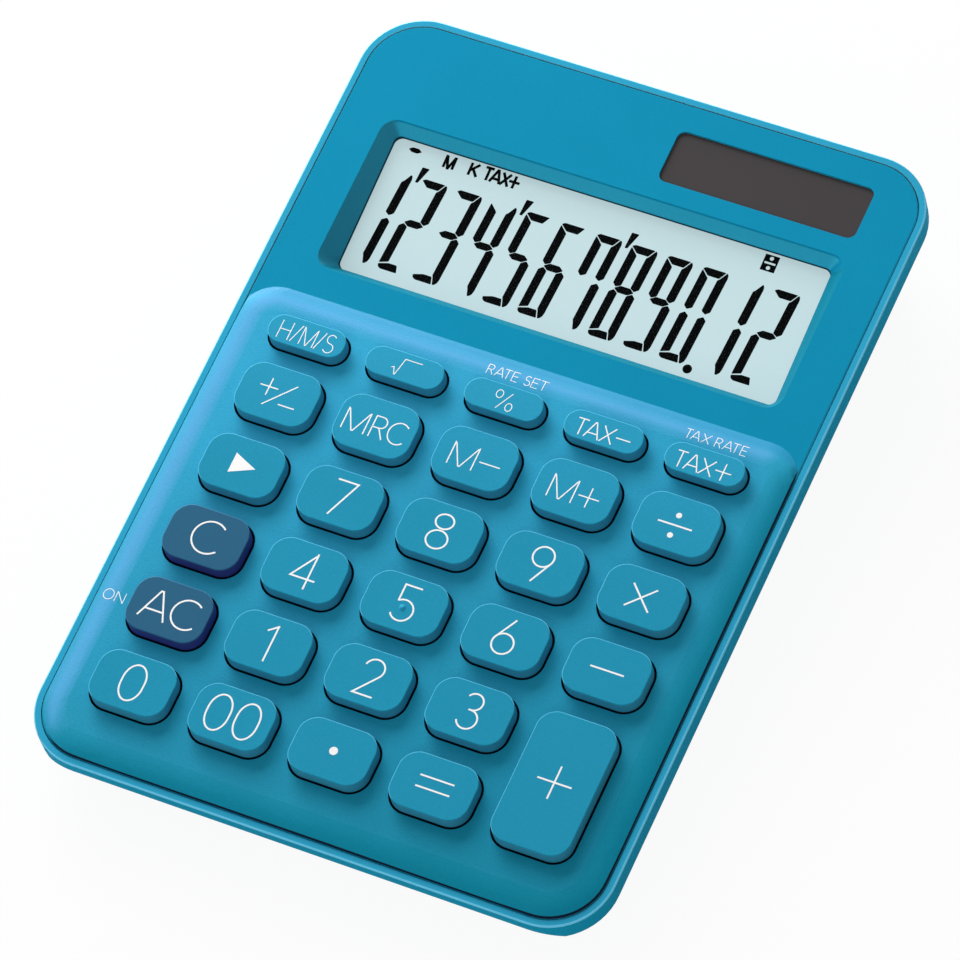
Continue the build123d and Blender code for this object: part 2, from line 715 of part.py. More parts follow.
def make_fasteners_and_feet():
    """Case screws and rubber feet, each group in one node."""
    screws = [deck * Pos(x, y, 0) * self_tapping_screw(bottom - screw_seat, screw_seat + screw_bite)
              for x, y, bottom in case_posts]
    foot = rod(foot_radius - foot_clearance, 0, base_height + foot_recess)
    foot = fillet(foot.edges().sort_by(Axis.Z)[0], foot_edge_radius)
    feet = [Pos(x, y, 0) * foot for x, y in foot_places]
    return {"case_screws": Compound(children=screws), "rubber_feet": Compound(children=feet)}


def main():
    """Make every piece and write one file for each."""
    os.makedirs("parts", exist_ok=True)
    pieces = {"lower_case": make_lower_case(), "upper_case": make_upper_case()}
    for group in (make_keys, make_display_parts, make_solar_parts, make_board_parts, make_battery_parts,
                  make_fasteners_and_feet):
        pieces.update(group())
    for name, piece in pieces.items():
        export_step(piece, f"parts/{name}.step")
    print(len(pieces), "pieces written")


main()
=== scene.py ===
# %% [markdown]
# # A desk calculator, finished in Blender
# The imported model already holds every moulding, keycap and screw at its real size and place. This lesson
# gives those parts their surfaces, prints the legends on the keys, fills the display with digits, cuts the
# domes under the keys free of their sheet, and sets up a small photo studio around it all. Lengths are
# written in millimetres and turned to metres by MM.

# %% Load the frame
import json
import math

import bpy
from mathutils import Matrix, Vector


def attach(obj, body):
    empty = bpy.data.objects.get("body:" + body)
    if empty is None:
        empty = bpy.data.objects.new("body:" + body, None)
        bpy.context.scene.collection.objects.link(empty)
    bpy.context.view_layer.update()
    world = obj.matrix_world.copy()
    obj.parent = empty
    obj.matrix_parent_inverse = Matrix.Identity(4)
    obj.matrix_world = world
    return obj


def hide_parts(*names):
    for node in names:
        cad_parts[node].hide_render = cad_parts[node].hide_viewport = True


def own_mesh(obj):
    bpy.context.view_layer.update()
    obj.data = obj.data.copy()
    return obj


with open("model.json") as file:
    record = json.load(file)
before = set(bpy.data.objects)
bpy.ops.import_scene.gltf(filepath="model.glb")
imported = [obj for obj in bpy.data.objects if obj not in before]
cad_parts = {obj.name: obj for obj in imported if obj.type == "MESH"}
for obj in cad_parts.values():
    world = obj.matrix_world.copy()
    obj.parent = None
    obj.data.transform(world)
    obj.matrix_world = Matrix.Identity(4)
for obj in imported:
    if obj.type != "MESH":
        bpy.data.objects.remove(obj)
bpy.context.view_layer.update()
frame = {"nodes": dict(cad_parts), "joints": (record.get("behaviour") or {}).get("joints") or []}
MM = 0.001
bpy.ops.object.select_all(action="DESELECT")

# %% [markdown]
# ## The tilted deck
# The keypad slopes down towards the user, so a legend has to lie on a tilted plane. The slope could be typed
# in, but every key slides straight into the deck, so the axis of any key's joint already tells it. The
# helper below measures a part along such a tilted plane, which gives flat tops and true centres.

# %% Measure the deck
press_axis = Vector(frame["joints"][0]["axis"])
deck_tilt = math.atan2(press_axis.y, -press_axis.z)
display_lean = math.radians(5.25)
display_tilt = deck_tilt + display_lean


def tilted_box(node, tilt):
    """Lowest and highest corners of a part, measured in axes that are turned about X by the tilt."""
    turn = Matrix.Rotation(-tilt, 3, "X")
    points = [turn @ vertex.co for vertex in frame["nodes"][node].data.vertices]
    low = Vector([min(point[axis] for point in points) for axis in range(3)])
    high = Vector([max(point[axis] for point in points) for axis in range(3)])
    return low, high


print("deck tilt", round(math.degrees(deck_tilt), 3), "degrees")

# %% [markdown]
# ## The camera
# The picture is taken from far away with a long lens, which keeps the keys almost the same size from front
# to back. A camera can be placed by typing a position and three angles, but an aim point, a distance, two
# view angles and a roll are easier to read and to change.

# %% Camera
view_target = Vector((1.21, -4.19, 15.81)) * MM
view_distance = 1170.4 * MM
view_azimuth = math.radians(36.30)
view_elevation = math.radians(56.95)
view_roll = math.radians(-13.54)
view_lens = 265.7
sensor_width = 36.0

to_camera = Vector((math.sin(view_azimuth) * math.cos(view_elevation),
                    -math.cos(view_azimuth) * math.cos(view_elevation),
                    math.sin(view_elevation)))
camera_turn = (-to_camera).to_track_quat("-Z", "Y").to_matrix().to_4x4() @ Matrix.Rotation(view_roll, 4, "Z")
bpy.ops.object.camera_add()
camera = bpy.context.object
camera.name = "studio_camera"
camera.matrix_world = Matrix.Translation(view_target + to_camera * view_distance) @ camera_turn
camera.data.sensor_width = sensor_width
camera.data.lens = view_lens
camera.data.dof.use_dof = False
bpy.context.scene.camera = camera
print("camera at", [round(c, 3) for c in camera.location])

# %% [markdown]
# ## Studio
# A white floor, a pale surround and three soft lamps. A wide strip behind the calculator's left shoulder
# lights the key tops and draws a soft sheen along the rolled edges; a low one behind it brings out the rim;
# a faint one in front fills the walls that face the user. The surround and the floor show white to the
# camera and in reflections, but light the plastic more gently, so that colours come out as written.

# %% Floor, surround and lamps
floor_size = 6.0
floor_grey = (0.9, 0.9, 0.9, 1.0)
floor_glow_share = 0.93
surround_light = 0.39
LAMPS = {  # azimuth and elevation in degrees; distance, width and height in metres; watts
    "strip_lamp": (-45, 38, 0.9, 1.0, 0.35, 5.7),
    "rim_lamp": (-42, 15, 0.7, 0.42, 0.42, 4.0),
    "fill_lamp": (175, 38, 1.0, 0.6, 0.6, 2.0),
}

bpy.context.scene.view_settings.view_transform = "Standard"


def new_material(name):
    """An empty node material with its output, ready for a shader."""
    material = bpy.data.materials.new(name)
    material.use_nodes = True
    material.node_tree.nodes.clear()
    output = material.node_tree.nodes.new("ShaderNodeOutputMaterial")
    return material, material.node_tree, output


def seen_directly(tree):
    """1 for rays that show the background itself: from the camera, in a reflection or through glass."""
    path = tree.nodes.new("ShaderNodeLightPath")
    total = path.outputs["Is Camera Ray"]
    for ray in ("Is Glossy Ray", "Is Transmission Ray"):
        either = tree.nodes.new("ShaderNodeMath")
        either.operation = "MAXIMUM"
        tree.links.new(total, either.inputs[0])
        tree.links.new(path.outputs[ray], either.inputs[1])
        total = either.outputs[0]
    return total


world = bpy.data.worlds.new("pale_surround")
bpy.context.scene.world = world
world.use_nodes = True
world.node_tree.nodes.clear()
world_output = world.node_tree.nodes.new("ShaderNodeOutputWorld")
surround = world.node_tree.nodes.new("ShaderNodeBackground")
strength = world.node_tree.nodes.new("ShaderNodeMix")
strength.inputs["A"].default_value = surround_light
strength.inputs["B"].default_value = 1.0
world.node_tree.links.new(seen_directly(world.node_tree), strength.inputs["Factor"])
world.node_tree.links.new(strength.outputs["Result"], surround.inputs["Strength"])
world.node_tree.links.new(surround.outputs["Background"], world_output.inputs["Surface"])

bpy.ops.mesh.primitive_plane_add(size=floor_size)
floor = bpy.context.object
floor.name = "studio_floor"
floor_material, floor_tree, floor_output = new_material("white_floor")
floor_paint = floor_tree.nodes.new("ShaderNodeBsdfDiffuse")
floor_paint.inputs["Color"].default_value = floor_grey
floor_glow = floor_tree.nodes.new("ShaderNodeEmission")
floor_mix = floor_tree.nodes.new("ShaderNodeMixShader")
floor_share = floor_tree.nodes.new("ShaderNodeMath")
floor_share.operation = "MULTIPLY"
floor_share.inputs[1].default_value = floor_glow_share
floor_tree.links.new(seen_directly(floor_tree), floor_share.inputs[0])
floor_tree.links.new(floor_share.outputs[0], floor_mix.inputs["Fac"])
floor_tree.links.new(floor_paint.outputs["BSDF"], floor_mix.inputs[1])
floor_tree.links.new(floor_glow.outputs["Emission"], floor_mix.inputs[2])
floor_tree.links.new(floor_mix.outputs["Shader"], floor_output.inputs["Surface"])
floor.data.materials.append(floor_material)

for lamp_name, (azimuth, elevation, distance, width, height, watts) in LAMPS.items():
    side, rise = math.radians(azimuth), math.radians(elevation)
    to_lamp = Vector((math.sin(side) * math.cos(rise), math.cos(side) * math.cos(rise), math.sin(rise)))
    bpy.ops.object.light_add(type="AREA", location=to_lamp * distance)
    lamp = bpy.context.object
    lamp.name = lamp_name
    lamp.data.shape = "ELLIPSE"
    lamp.data.size = width
    lamp.data.size_y = height
    lamp.data.energy = watts
    lamp.rotation_euler = to_lamp.to_track_quat("Z", "Y").to_euler()
print("lamps", ", ".join(LAMPS))

# %% [markdown]
# ## Shared surface effects
# Moulded plastic is never one flat colour: the steel of the mould leaves a fine even grain, and the pigment
# clouds a little. Its edges catch the light and its walls look deeper than its tops; here that light and
# shade are painted into the colour. These effects are wanted in many materials here, so they are built once
# as node groups. The first gives grain and clouds from Object coordinates, so they stay put when a key moves.

# %% Grain group
grain_detail = 3.0
cloud_detail = 2.0
pit_start, pit_end = 0.3, 0.7


def new_group(name, inputs, outputs):
    """An empty shader node group with number sockets; returns it with its entry and exit nodes."""
    group = bpy.data.node_groups.new(name, "ShaderNodeTree")
    for socket_name in inputs:
        group.interface.new_socket(socket_name, in_out="INPUT", socket_type="NodeSocketFloat")
    for socket_name in outputs:
        group.interface.new_socket(socket_name, in_out="OUTPUT", socket_type="NodeSocketFloat")
    return group, group.nodes.new("NodeGroupInput"), group.nodes.new("NodeGroupOutput")


def make_grain_group():
    """Node group: a fine grain height, a grain mask and slow colour clouds."""
    outputs = ("Height", "Grain", "Cloud")
    group, entry, leave = new_group("moulded_grain", ("Grain Scale", "Cloud Scale"), outputs)
    place = group.nodes.new("ShaderNodeTexCoord")
    grain = group.nodes.new("ShaderNodeTexNoise")
    grain.inputs["Detail"].default_value = grain_detail
    cloud = group.nodes.new("ShaderNodeTexNoise")
    cloud.inputs["Detail"].default_value = cloud_detail
    pits = group.nodes.new("ShaderNodeMapRange")
    pits.inputs["From Min"].default_value = pit_start
    pits.inputs["From Max"].default_value = pit_end
    group.links.new(entry.outputs["Grain Scale"], grain.inputs["Scale"])
    group.links.new(entry.outputs["Cloud Scale"], cloud.inputs["Scale"])
    for texture in (grain, cloud):
        group.links.new(place.outputs["Object"], texture.inputs["Vector"])
    group.links.new(grain.outputs["Fac"], pits.inputs["Value"])
    group.links.new(grain.outputs["Fac"], leave.inputs["Height"])
    group.links.new(pits.outputs["Result"], leave.inputs["Grain"])
    group.links.new(cloud.outputs["Fac"], leave.inputs["Cloud"])
    return group


grain_group = make_grain_group()
print("node group", grain_group.name)

# %% [markdown]
# ## Masks that know the deck
# Light falls on the calculator from the back left, and each side of a moulding is painted with its own tone
# of that light or shade. A second node group tells them apart by the way a spot faces and by its height above
# the
# deck. Each output is a mask: 1 on the tops, edges, slopes or walls that its name says, and 0 elsewhere. Most
# of them carry painted light: sheen, highlights, shade in the gaps and a lighter back. Vertex paint could do
# the same by hand, but a mask made of slope and height fits every key at once. Slopes are given as the cosine
# of an angle.

# %% Deck group
to_right = Vector((1, 0, 0))
to_back = Vector((0, 1, 0))
to_front_right = Vector((1, -1, 0)).normalized()
to_back_left = Vector((-0.85, 0.5, 0))
to_far_corner = Vector((-0.5, 0.87, 0))
DECK_MASKS = ("Level", "Raised", "Back", "Lit Slope", "Back Slope", "Shaded Slope", "Shaded Edge",
              "Front Edge", "Lit Edge", "Front Wall", "Right Wall", "Lit Wall", "Far Top", "Sunk", "Proud",
              "Inside")


def make_deck_group():
    """Node group: masks that tell tops, edges, walls, the raised cushion and hidden depths apart."""
    group, _, leave = new_group("deck_slope", (), DECK_MASKS)
    place = group.nodes.new("ShaderNodeTexCoord")

    def along(source, direction):
        """The place or the normal, measured along a direction."""
        product = group.nodes.new("ShaderNodeVectorMath")
        product.operation = "DOT_PRODUCT"
        product.inputs[1].default_value = direction
        group.links.new(place.outputs[source], product.inputs[0])
        return product.outputs["Value"]

    def mask(value, low, high):
        """0 below low and 1 above high, or the other way round if low is the greater."""
        ramp = group.nodes.new("ShaderNodeMapRange")
        ramp.inputs["From Min"].default_value = low
        ramp.inputs["From Max"].default_value = high
        group.links.new(value, ramp.inputs["Value"])
        return ramp.outputs["Result"]

    def both(first, second):
        """The product of two masks."""
        times = group.nodes.new("ShaderNodeMath")
        times.operation = "MULTIPLY"
        group.links.new(first, times.inputs[0])
        group.links.new(second, times.inputs[1])
        return times.outputs[0]

    def above(start, low, high):
        """A mask over the height, from low to high in mm past a starting height."""
        return mask(along("Object", -press_axis), start + low * MM, start + high * MM)

    deck_height = tilted_box("lower_case", deck_tilt)[1].z
    cushion_height = tilted_box("upper_case", deck_tilt)[1].z
    key_height = tilted_box("key_8", deck_tilt)[1].z
    level = along("Normal", -press_axis)
    front_right = along("Normal", to_front_right)
    back_left = along("Normal", to_back_left)
    raised = above(deck_height, 0.02, 0.1)
    low_wall = both(above(deck_height, 0.1, 0.02), mask(level, 0.97, 0.9))
    under_edge = above(deck_height, -0.1, -0.3)
    not_wall = mask(level, 0.3, 0.45)
    lit_slope = both(mask(back_left, -0.043, 0.03), mask(level, 0.962, 0.988))
    shaded_edge = both(mask(front_right, 0.08, 0.3), mask(level, 0.965, 0.94))
    front_wall = both(under_edge, mask(along("Normal", -to_far_corner), 0.25, 0.4))
    outward = group.nodes.new("ShaderNodeVectorMath")
    outward.operation = "DOT_PRODUCT"
    group.links.new(place.outputs["Normal"], outward.inputs[0])
    group.links.new(place.outputs["Object"], outward.inputs[1])
    masks = {
        "Level": level,
        "Raised": raised,
        # Back: painted light, the cushion lighter towards its far left corner
        "Back": both(raised, mask(along("Object", to_far_corner), -70 * MM, 15 * MM)),
        "Lit Slope": both(raised, lit_slope),
        # Back Slope: painted shade on steep slopes that face the back
        "Back Slope": both(raised, mask(along("Normal", to_back), 0.08, 0.22)),
        "Shaded Slope": both(raised, mask(front_right, 0.06, 0.27)),
        "Shaded Edge": both(raised, shaded_edge),
        # Front Edge and Lit Edge: edges that face away from or towards the lamps, for painted highlights
        "Front Edge": both(mask(front_right, 0.08, 0.2), not_wall),
        "Lit Edge": both(mask(back_left, 0.08, 0.2), not_wall),
        # Front Wall, Right Wall and Lit Wall: walls under the deck, painted in tones for the light they face
        "Front Wall": both(low_wall, front_wall),
        "Right Wall": both(low_wall, mask(along("Normal", to_right), 0.2, 0.4)),
        "Lit Wall": both(low_wall, mask(front_right, -0.1, -0.25)),
        # Far Top: painted light, key tops lighter towards the back
        "Far Top": both(mask(level, 0.975, 0.99), mask(along("Object", to_back), -15 * MM, 12 * MM)),
        # Sunk: painted shadow on what lies below the cushion's top, in the gaps round the keys
        "Sunk": above(cushion_height, 0.06, -0.06),
        # Proud: the homing dot, painted lighter against its own shade
        "Proud": above(key_height, 0.01, 0.04),
        # Inside: painted light on inward walls, such as the inner wall of the seam
        "Inside": mask(outward.outputs["Value"], -10 * MM, -20 * MM),
    }
    for name, value in masks.items():
        group.links.new(value, leave.inputs[name])
    return group


deck_group = make_deck_group()
print("node group", deck_group.name, "with", len(DECK_MASKS), "masks")

# %% [markdown]
# ## One recipe for the finishes
# Every finish on this calculator is a base colour that clouds a little lighter and darker, a roughness that
# wavers with the grain, and a bump from the same grain. One function builds that recipe, and a short list of
# values makes it blue plastic, navy plastic, steel, rubber or circuit board. Where a finish is given an edge
# and a wall colour, a colour ramp over the slope changes from wall to edge to top: a painted wall tone for
# the light the walls get, and a painted highlight along rounded edges. Tints are laid over that, each on its
# own mask of the deck group; most of them paint light or shade. A satin value makes the raised cushion
# smoother than the panel, and keeps the grain's bump to the cushion.

# %% Finish recipe
wall_end, edge_start, edge_end, top_start = 0.3, 0.45, 0.9, 0.975


def srgb(red, green, blue):
    """A colour picked as 0 to 255 on a screen, as the linear value that a shader wants."""
    def linear(value):
        value = value / 255
        return value / 12.92 if value <= 0.04045 else ((value + 0.055) / 1.055) ** 2.4
    return (linear(red), linear(green), linear(blue), 1.0)


def slope_colours(tree, level, top, edge, wall):
    """A ramp over the slope: a painted wall tone, a painted highlight band on rounded edges, and the top
    colour.
    """
    ramp = tree.nodes.new("ShaderNodeValToRGB")
    stops = ramp.color_ramp.elements
    stops[0].position, stops[0].color = wall_end, wall
    stops[1].position, stops[1].color = top_start, top
    for position in (edge_start, edge_end):
        stops.new(position).color = edge
    tree.links.new(level, ramp.inputs["Fac"])
    return ramp.outputs["Color"]


def blended(tree, mask, base, top):
    """Two colours, or a colour socket and a colour, mixed by a mask."""
    mix = tree.nodes.new("ShaderNodeMix")
    mix.data_type = "RGBA"
    mix.inputs["B"].default_value = top
    if isinstance(base, bpy.types.NodeSocket):
        tree.links.new(base, mix.inputs["A"])
    else:
        mix.inputs["A"].default_value = base
    tree.links.new(mask, mix.inputs["Factor"])
    return mix.outputs["Result"]


def make_finish(name, colour, roughness, metallic=0.0, specular=0.5, gloss=None, grain_size=0.15, bump=0.004,
                cloud_size=14.0, clouding=0.05, wavering=0.06, speckle=0.0, edge=None, wall=None, tints=None,
                satin=None):
    """A Principled material with clouded colour, wavering roughness and a fine grain bump. Sizes in mm."""
    material, tree, output = new_material(name)
    shader = tree.nodes.new("ShaderNodeBsdfPrincipled")
    shader.name = "shader"
    shader.inputs["Metallic"].default_value = metallic
    shader.inputs["Specular IOR Level"].default_value = specular
    if gloss:
        shader.inputs["Specular Tint"].default_value = gloss
    grain = tree.nodes.new("ShaderNodeGroup")
    grain.node_tree = grain_group
    grain.inputs["Grain Scale"].default_value = 1 / (grain_size * MM)
    grain.inputs["Cloud Scale"].default_value = 1 / (cloud_size * MM)
    shade = tree.nodes.new("ShaderNodeMapRange")
    shade.inputs["To Min"].default_value = 1 - clouding - speckle / 2
    shade.inputs["To Max"].default_value = 1 + clouding - speckle / 2
    fleck = tree.nodes.new("ShaderNodeMath")
    fleck.operation = "MULTIPLY_ADD"
    fleck.inputs[1].default_value = speckle
    paint = tree.nodes.new("ShaderNodeVectorMath")
    paint.operation = "SCALE"
    paint.inputs[0].default_value = colour[:3]
    relief = tree.nodes.new("ShaderNodeBump")
    relief.inputs["Distance"].default_value = bump * MM
    rough = tree.nodes.new("ShaderNodeMapRange")
    rough.inputs["To Min"].default_value = roughness - wavering
    rough.inputs["To Max"].default_value = roughness + wavering
    height, roughness_value = grain.outputs["Height"], rough.outputs["Result"]
    if tints:
        deck = tree.nodes.new("ShaderNodeGroup")
        deck.node_tree = deck_group
        tones = slope_colours(tree, deck.outputs["Level"], colour, edge, wall) if edge else colour
        for mask, tint in tints.items():
            tones = blended(tree, deck.outputs[mask], tones, tint)
        tree.links.new(tones, paint.inputs[0])
    if satin:
        textured = tree.nodes.new("ShaderNodeMath")
        textured.operation = "MULTIPLY"
        tree.links.new(height, textured.inputs[0])
        tree.links.new(deck.outputs["Raised"], textured.inputs[1])
        smoother = tree.nodes.new("ShaderNodeMath")
        smoother.operation = "MULTIPLY_ADD"
        smoother.inputs[1].default_value = satin - roughness
        tree.links.new(deck.outputs["Raised"], smoother.inputs[0])
        tree.links.new(roughness_value, smoother.inputs[2])
        height, roughness_value = textured.outputs[0], smoother.outputs[0]
    tree.links.new(grain.outputs["Cloud"], shade.inputs["Value"])
    tree.links.new(grain.outputs["Grain"], fleck.inputs[0])
    tree.links.new(shade.outputs["Result"], fleck.inputs[2])
    tree.links.new(fleck.outputs[0], paint.inputs["Scale"])
    tree.links.new(paint.outputs["Vector"], shader.inputs["Base Color"])
    tree.links.new(grain.outputs["Grain"], rough.inputs["Value"])
    tree.links.new(roughness_value, shader.inputs["Roughness"])
    tree.links.new(height, relief.inputs["Height"])
    tree.links.new(relief.outputs["Normal"], shader.inputs["Normal"])
    tree.links.new(shader.outputs["BSDF"], output.inputs["Surface"])
    return material


# %% [markdown]
# ## Finishes of the carried-over parts
# Each part of the imported model names a material slot. The table gives every slot its finish. The two halves
# of the case share a slot, but the lower half shows a lighter rim with painted highlights on its edges and
# painted light in its seam, and the upper half has a smooth panel and a finely grained cushion with painted
# light and shade, so these two parts get their own. The grey film of the display is given a glow, which is
# painted light, so that the deep bezel doesn't shade it.

# %% Finishes
blue_gloss = (0.2, 0.42, 1.0, 1.0)
# painted light: colour and strength of the display film's glow
film_glow = srgb(196, 221, 225)
film_glow_strength = 0.72
FINISHES = {
    "case_blue": make_finish("case_blue", srgb(16, 140, 178), 0.6, specular=0.1, gloss=blue_gloss),
    # Painted light and shade on the keys: a highlight band on rounded edges and a wall tone from the ramp;
    # Front Edge keeps that highlight off edges facing away from the lamps, Far Top lightens the far key tops,
    # Sunk paints shadow below the cushion's top and Proud paints the homing dot lighter.
    "key_blue": make_finish("key_blue", srgb(30, 149, 182), 0.6, specular=0.2, gloss=blue_gloss,
                            grain_size=0.3, bump=0.012, speckle=0.1, edge=srgb(96, 196, 230),
                            wall=srgb(56, 146, 174),
                            tints={"Front Edge": srgb(32, 146, 178), "Far Top": srgb(40, 160, 196),
                                   "Sunk": srgb(0, 12, 22), "Proud": srgb(44, 165, 200)}),
    "key_navy": make_finish("key_navy", srgb(42, 97, 128), 0.6, specular=0.2, gloss=blue_gloss,
                            grain_size=0.3, bump=0.012, speckle=0.1, edge=srgb(70, 124, 160),
                            wall=srgb(50, 58, 122),
                            tints={"Front Edge": srgb(42, 88, 128), "Sunk": srgb(6, 4, 26)}),
    "clear_window": make_finish("clear_window", srgb(235, 242, 244), 0.08),
    "display_grey": make_finish("display_grey", srgb(126, 143, 146), 0.6, specular=0.05, clouding=0.005),
    "display_glass": make_finish("display_glass", srgb(190, 210, 205), 0.1),
    "silver_film": make_finish("silver_film", srgb(200, 202, 200), 0.35, metallic=0.8),
    "white_plastic": make_finish("white_plastic", srgb(225, 225, 218), 0.5),
    "zinc_steel": make_finish("zinc_steel", srgb(180, 182, 186), 0.35, metallic=1.0),
    "ribbon_amber": make_finish("ribbon_amber", srgb(190, 120, 40), 0.4),
    "smoked_window": make_finish("smoked_window", srgb(70, 66, 67), 0.35, specular=0.05, clouding=0.03),
    "solar_film": make_finish("solar_film", srgb(60, 45, 55), 0.3),
    "red_insulation": make_finish("red_insulation", srgb(180, 30, 30), 0.45),
    "black_insulation": make_finish("black_insulation", srgb(25, 25, 27), 0.45),
    "grey_silicone": make_finish("grey_silicone", srgb(150, 152, 155), 0.7),
    "board_green": make_finish("board_green", srgb(40, 95, 55), 0.4),
    "black_epoxy": make_finish("black_epoxy", srgb(18, 18, 20), 0.25),
    "capacitor_sleeve": make_finish("capacitor_sleeve", srgb(30, 40, 90), 0.35),
    "cell_steel": make_finish("cell_steel", srgb(205, 205, 208), 0.22, metallic=1.0),
    "spring_steel": make_finish("spring_steel", srgb(190, 190, 185), 0.28, metallic=1.0),
    "foot_rubber": make_finish("foot_rubber", srgb(40, 42, 45), 0.85),
}
OWN_FINISHES = {
    # Painted light and shade on the panel and cushion: a lighter back (Back), a painted sheen (Lit Slope),
    # painted shade on back, front and right slopes (Back Slope, Shaded Slope), a near-black painted shadow
    # along the front and right edges (Shaded Edge), and painted tones on the walls under the deck (Front
    # Wall, Right Wall, Lit Wall).
    "upper_case": make_finish("panel_and_cushion", srgb(4, 143, 181), 0.88, specular=0.3, gloss=blue_gloss,
                              grain_size=0.35, bump=0.03, speckle=0.08, satin=0.42,
                              tints={"Raised": srgb(14, 140, 166), "Back": srgb(45, 169, 206),
                                     "Lit Slope": srgb(77, 168, 214), "Back Slope": srgb(40, 152, 194),
                                     "Shaded Slope": srgb(6, 132, 158), "Shaded Edge": srgb(0, 4, 10),
                                     "Front Wall": srgb(50, 182, 216), "Right Wall": srgb(43, 143, 171),
                                     "Lit Wall": srgb(0, 126, 150)}),
    # Painted light on the tray and rim: a highlight band on rounded edges, brighter painted highlights on the
    # rim's outer edges (Front Edge, Lit Edge) and painted light on the seam's inner wall (Inside).
    "lower_case": make_finish("tray_and_rim", srgb(50, 166, 204), 0.6, specular=0.02, gloss=blue_gloss,
                              grain_size=0.25, bump=0.01, edge=srgb(76, 178, 214), wall=srgb(18, 152, 186),
                              tints={"Front Edge": srgb(120, 218, 255), "Lit Edge": srgb(140, 222, 244),
                                     "Inside": srgb(150, 225, 245)}),
}
# Painted light: the film glows though it is no lamp.
film = FINISHES["display_grey"].node_tree.nodes["shader"]
film.inputs["Emission Color"].default_value = film_glow
film.inputs["Emission Strength"].default_value = film_glow_strength
for node, part in frame["nodes"].items():
    for slot in part.material_slots:
        slot_name = slot.material.name.split(".")[0]
        slot.material = OWN_FINISHES.get(node) or FINISHES[slot_name]
print("finishes", len(FINISHES) + len(OWN_FINISHES))

# %% [markdown]
# ## The display window
# A clear plate covers the display. Real clear plastic shows what lies under it and a faint gloss on top.
# A fully refracting glass would cost many samples here, and the plate is flat, so a nearly clear Alpha does
# the same job. The plate is modelled again from a cube, a hair above the film, to leave room for the digits.

# %% Clear plate over the display
def select_only(piece):
    """Makes one object the only selected and active one, so that operators act on nothing else."""
    bpy.ops.object.select_all(action="DESELECT")
    piece.select_set(True)
    bpy.context.view_layer.objects.active = piece


def block(name, size):
    """A box of the given size in mm, about the origin."""
    bpy.ops.mesh.primitive_cube_add(size=1.0)
    piece = bpy.context.object
    piece.name = name
    piece.scale = size
    select_only(piece)
    bpy.ops.object.transform_apply(location=False, rotation=False, scale=True)
    return piece


def set_down(piece, origin, tilt):
    """Scales a piece drawn in mm, turns it to a tilted plane, moves it into place and applies all three."""
    turn = Matrix.Rotation(tilt, 4, "X")
    piece.matrix_world = turn @ Matrix.Translation(origin) @ Matrix.Scale(MM, 4)
    select_only(piece)
    bpy.ops.object.transform_apply(location=True, rotation=True, scale=True)


plate_low, plate_high = tilted_box("display_window", display_tilt)
plate_lift = 0.06
plate_drop = 0.08
plate_edge = 0.12
plate_alpha = 0.01
plate = block("clear_plate", (plate_high - plate_low) / MM - Vector((0, 0, plate_lift + plate_drop)))
edges = plate.modifiers.new("edges", "BEVEL")
edges.width = plate_edge
edges.segments = 2
bpy.ops.object.modifier_apply(modifier=edges.name)
plate_shift = Vector((0, 0, (plate_lift - plate_drop) / 2 * MM))
plate_middle = (plate_low + plate_high) / 2
set_down(plate, plate_middle + plate_shift, display_tilt)

clear = make_finish("clear_plate", srgb(60, 66, 68), 0.05, wavering=0.01, bump=0.0005)
clear.node_tree.nodes["shader"].inputs["Alpha"].default_value = plate_alpha
plate.data.materials.append(clear)
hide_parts("display_window")
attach(plate, "case")
print("plate", [round(side / MM, 1) for side in plate_high - plate_low], "mm")

# %% [markdown]
# ## A pen for letters and signs
# The legends are drawn with one even line, so a pen is a better tool than a font. Each stroke starts as a
# path of points. Extruding the path makes a low standing wall, and Solidify with even thickness widens the
# wall to both sides with clean corners. Crossing strokes are then united with a Boolean modifier.

# %% Pen
ink_rise = 0.02
ink_sink = 0.06
arc_step = 10
same_point = 1e-6
cutter_height = 3.0


def arc(x, y, radius, start, end, tall=None):
    """Points on a circle or a tall ellipse about (x, y), between two angles in degrees."""
    tall = radius if tall is None else tall
    count = max(3, round(abs(end - start) / arc_step))
    turns = [math.radians(start + (end - start) * step / count) for step in range(count + 1)]
    return [(x + radius * math.cos(turn), y + tall * math.sin(turn)) for turn in turns]


def disc(x, y, radius):
    """Corner points of a round dot."""
    return arc(x, y, radius, 0, 360)[:-1]


def raise_path(name, points, faces):
    """A flat path or area, raised into a wall or a plate as thick as the ink."""
    links = [] if faces else [(step, step + 1) for step in range(len(points) - 1)]
    if not faces and math.dist(points[0], points[-1]) < same_point:
        points = points[:-1]
        links = links[:-1] + [(len(points) - 1, 0)]
    mesh = bpy.data.meshes.new(name)
    mesh.from_pydata([(x, y, -ink_sink) for x, y in points], links, faces)
    piece = bpy.data.objects.new(name, mesh)
    bpy.context.collection.objects.link(piece)
    select_only(piece)
    bpy.ops.object.mode_set(mode="EDIT")
    bpy.ops.mesh.select_all(action="SELECT")
    bpy.ops.mesh.extrude_region_move(TRANSFORM_OT_translate={"value": (0, 0, ink_rise + ink_sink)})
    bpy.ops.mesh.select_all(action="SELECT")
    bpy.ops.mesh.normals_make_consistent(inside=False)
    bpy.ops.object.mode_set(mode="OBJECT")
    return piece


def stroke(name, points, width):
    """One pen stroke along a path."""
    piece = raise_path(name, points, [])
    widen = piece.modifiers.new("widen", "SOLIDIFY")
    widen.thickness = width
    widen.offset = 0.0
    widen.use_even_offset = True
    bpy.ops.object.modifier_apply(modifier=widen.name)
    return piece


def filled(name, points):
    """A thin sheet of the given outline."""
    return raise_path(name, points, [range(len(points))])


